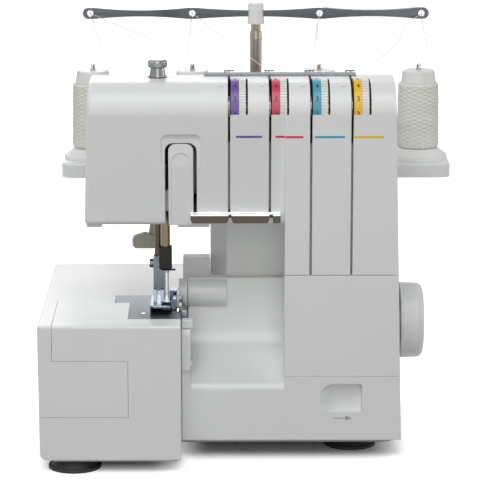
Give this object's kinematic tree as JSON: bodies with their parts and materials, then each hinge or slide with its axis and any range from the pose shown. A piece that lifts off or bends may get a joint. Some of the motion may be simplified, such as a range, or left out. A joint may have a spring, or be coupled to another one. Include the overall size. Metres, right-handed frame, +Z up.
{
  "type": "serger overlock machine",
  "caption": "Free-standing overlock sewing machine with moulded casing, tension dials, thread pole, cones, drop-front looper cover, sliding table, handwheel, needles and presser foot.",
  "frame": {"origin": "on the floor under the middle of the machine's outer box", "axes": "+X to the right as the user sits, +Y to the back, +Z up"},
  "size_m": [0.3226, 0.272, 0.324],
  "materials": {
    "white_abs": "satin moulded ABS",
    "base_abs": "fine matte moulded ABS",
    "rubber": "matte black rubber",
    "cast_metal": "die-cast",
    "bronze": "sintered bronze",
    "polished_steel": "polished plated steel",
    "bar_steel": "ground steel",
    "dark_steel": "dark polished steel",
    "black_steel": "black oxide",
    "black_plastic": "matte",
    "motor_steel": "painted can",
    "lever_plastic": "beige-grey moulded plastic",
    "lamp_lens": "clear lens",
    "spool_plastic": "moulded",
    "thread": "wound polyester thread",
    "dial_purple": "moulded",
    "dial_red": "moulded",
    "dial_teal": "moulded",
    "dial_yellow": "moulded"
  },
  "bodies": {
    "machine": {"base_plate": "base_abs", "bed_frame": "cast_metal", "bed_housing": "white_abs", "bushes": "bronze", "casing_screws": "polished_steel", "dial_spindle": "bar_steel", "drive_belt": "rubber", "front_cover": "white_abs", "head_frame": "cast_metal", "lower_knife": "polished_steel", "motor": "motor_steel", "needle_plate": "polished_steel", "needle_thread_guide": "polished_steel", "pole_tube": "bar_steel", "power_inlet": "black_plastic", "presser_spring": "polished_steel", "rear_housing": "white_abs", "rubber_feet": "rubber", "spool_caps": "spool_plastic", "spool_pins": "polished_steel", "spool_seats": "spool_plastic", "spool_tray": "white_abs", "switch_pin": "bar_steel", "take_up_cover": "white_abs", "tension_discs": "polished_steel", "thread_1": "thread", "thread_2": "thread", "thread_3": "thread", "thread_4": "thread", "thread_cones": "thread", "top_thread_guide": "polished_steel", "work_lamp": "lamp_lens"},
    "drive": {"handwheel": "white_abs", "main_shaft": "bar_steel", "driven_pulley": "black_plastic"},
    "motor_drive": {"motor_pulley": "black_plastic"},
    "needle_unit": {"needle_bar": "bar_steel", "needle_clamp": "black_steel", "needles": "polished_steel"},
    "presser_unit": {"presser_bar": "bar_steel", "presser_ankle": "polished_steel", "presser_foot": "polished_steel"},
    "lifter": {"lifter_lever": "lever_plastic"},
    "pressure": {"pressure_knob": "polished_steel"},
    "dial_1": {"tension_dial_1": "dial_purple"},
    "dial_2": {"tension_dial_2": "dial_red"},
    "dial_3": {"tension_dial_3": "dial_teal"},
    "dial_4": {"tension_dial_4": "dial_yellow"},
    "cover_rod": {"cover_hinge_rod": "bar_steel"},
    "cover": {"looper_cover": "white_abs"},
    "table": {"extension_table": "white_abs"},
    "drawer": {"accessory_drawer": "white_abs"},
    "pole": {"pole_rod": "bar_steel", "bar_hub": "white_abs", "thread_bar": "dark_steel"},
    "upper_looper": {"upper_looper": "polished_steel"},
    "lower_looper": {"lower_looper": "polished_steel"},
    "upper_knife": {"upper_knife": "polished_steel"},
    "feed": {"feed_dog": "polished_steel"},
    "switch": {"power_switch": "black_plastic"}
  },
  "joints": [
    {"name": "handwheel_turn", "type": "hinge", "parent": "machine", "child": "drive", "pos_m": [0.0033, -0.019, 0.089], "axis": [1, 0, 0], "continuous": true},
    {"name": "motor_turn", "type": "hinge", "parent": "machine", "child": "motor_drive", "pos_m": [0.0033, 0.026, 0.05], "axis": [1, 0, 0], "continuous": true},
    {"name": "needle_bar_slide", "type": "slide", "parent": "machine", "child": "needle_unit", "axis": [0, 0, 1], "range_m": [-0.012, 0.012]},
    {"name": "lifter_turn", "type": "hinge", "parent": "machine", "child": "lifter", "pos_m": [-0.0757, -0.004, 0.192], "axis": [0, 1, 0], "range_deg": [0, 45]},
    {"name": "presser_lift", "type": "slide", "parent": "machine", "child": "presser_unit", "axis": [0, 0, 1], "range_m": [0, 0.0055], "deforming": ["presser_spring"]},
    {"name": "pressure_turn", "type": "hinge", "parent": "machine", "child": "pressure", "pos_m": [-0.0727, -0.056, 0.29], "axis": [0, 0, 1], "range_deg": [-180, 180]},
    {"name": "dial_1_turn", "type": "hinge", "parent": "machine", "child": "dial_1", "pos_m": [0.0033, -0.0745, 0.2665], "axis": [1, 0, 0], "range_deg": [-105, 165]},
    {"name": "dial_2_turn", "type": "hinge", "parent": "machine", "child": "dial_2", "pos_m": [0.0033, -0.0745, 0.2665], "axis": [1, 0, 0], "range_deg": [-105, 165]},
    {"name": "dial_3_turn", "type": "hinge", "parent": "machine", "child": "dial_3", "pos_m": [0.0033, -0.0745, 0.2665], "axis": [1, 0, 0], "range_deg": [-105, 165]},
    {"name": "dial_4_turn", "type": "hinge", "parent": "machine", "child": "dial_4", "pos_m": [0.0033, -0.0745, 0.2665], "axis": [1, 0, 0], "range_deg": [-105, 165]},
    {"name": "cover_unlatch", "type": "slide", "parent": "machine", "child": "cover_rod", "axis": [1, 0, 0], "range_m": [0, 0.003]},
    {"name": "cover_open", "type": "hinge", "parent": "cover_rod", "child": "cover", "pos_m": [0.0033, -0.09, 0.019], "axis": [1, 0, 0], "range_deg": [0, 75]},
    {"name": "table_off", "type": "slide", "parent": "machine", "child": "table", "axis": [-1, 0, 0], "range_m": [0, 0.11]},
    {"name": "drawer_out", "type": "slide", "parent": "table", "child": "drawer", "axis": [-1, 0, 0], "range_m": [0, 0.055]},
    {"name": "pole_up", "type": "slide", "parent": "machine", "child": "pole", "axis": [0, 0, 1], "range_m": [0, 0.09], "deforming": ["thread_1", "thread_2", "thread_3", "thread_4"]},
    {"name": "upper_looper_swing", "type": "hinge", "parent": "machine", "child": "upper_looper", "pos_m": [-0.0367, -0.059, 0.05], "axis": [0, 1, 0], "range_deg": [-8, 8]},
    {"name": "lower_looper_swing", "type": "hinge", "parent": "machine", "child": "lower_looper", "pos_m": [-0.0387, -0.059, 0.036], "axis": [0, 1, 0], "range_deg": [-8, 8]},
    {"name": "upper_knife_swing", "type": "hinge", "parent": "machine", "child": "upper_knife", "pos_m": [-0.0527, -0.05, 0.058], "axis": [1, 0, 0], "range_deg": [-7, 0]},
    {"name": "feed_stroke", "type": "slide", "parent": "machine", "child": "feed", "axis": [0, 1, 0], "range_m": [-0.002, 0.002]},
    {"name": "switch_rock", "type": "hinge", "parent": "machine", "child": "switch", "pos_m": [0.10521, 0.04, 0.058], "axis": [0, 1, 0], "range_deg": [-6, 6]}
  ],
  "couplings": [
    {"joint": "motor_turn", "follows": "handwheel_turn", "ratio": 3},
    {"joint": "lifter_turn", "follows": "presser_lift", "rad_per_m": 142.79}
  ]
}
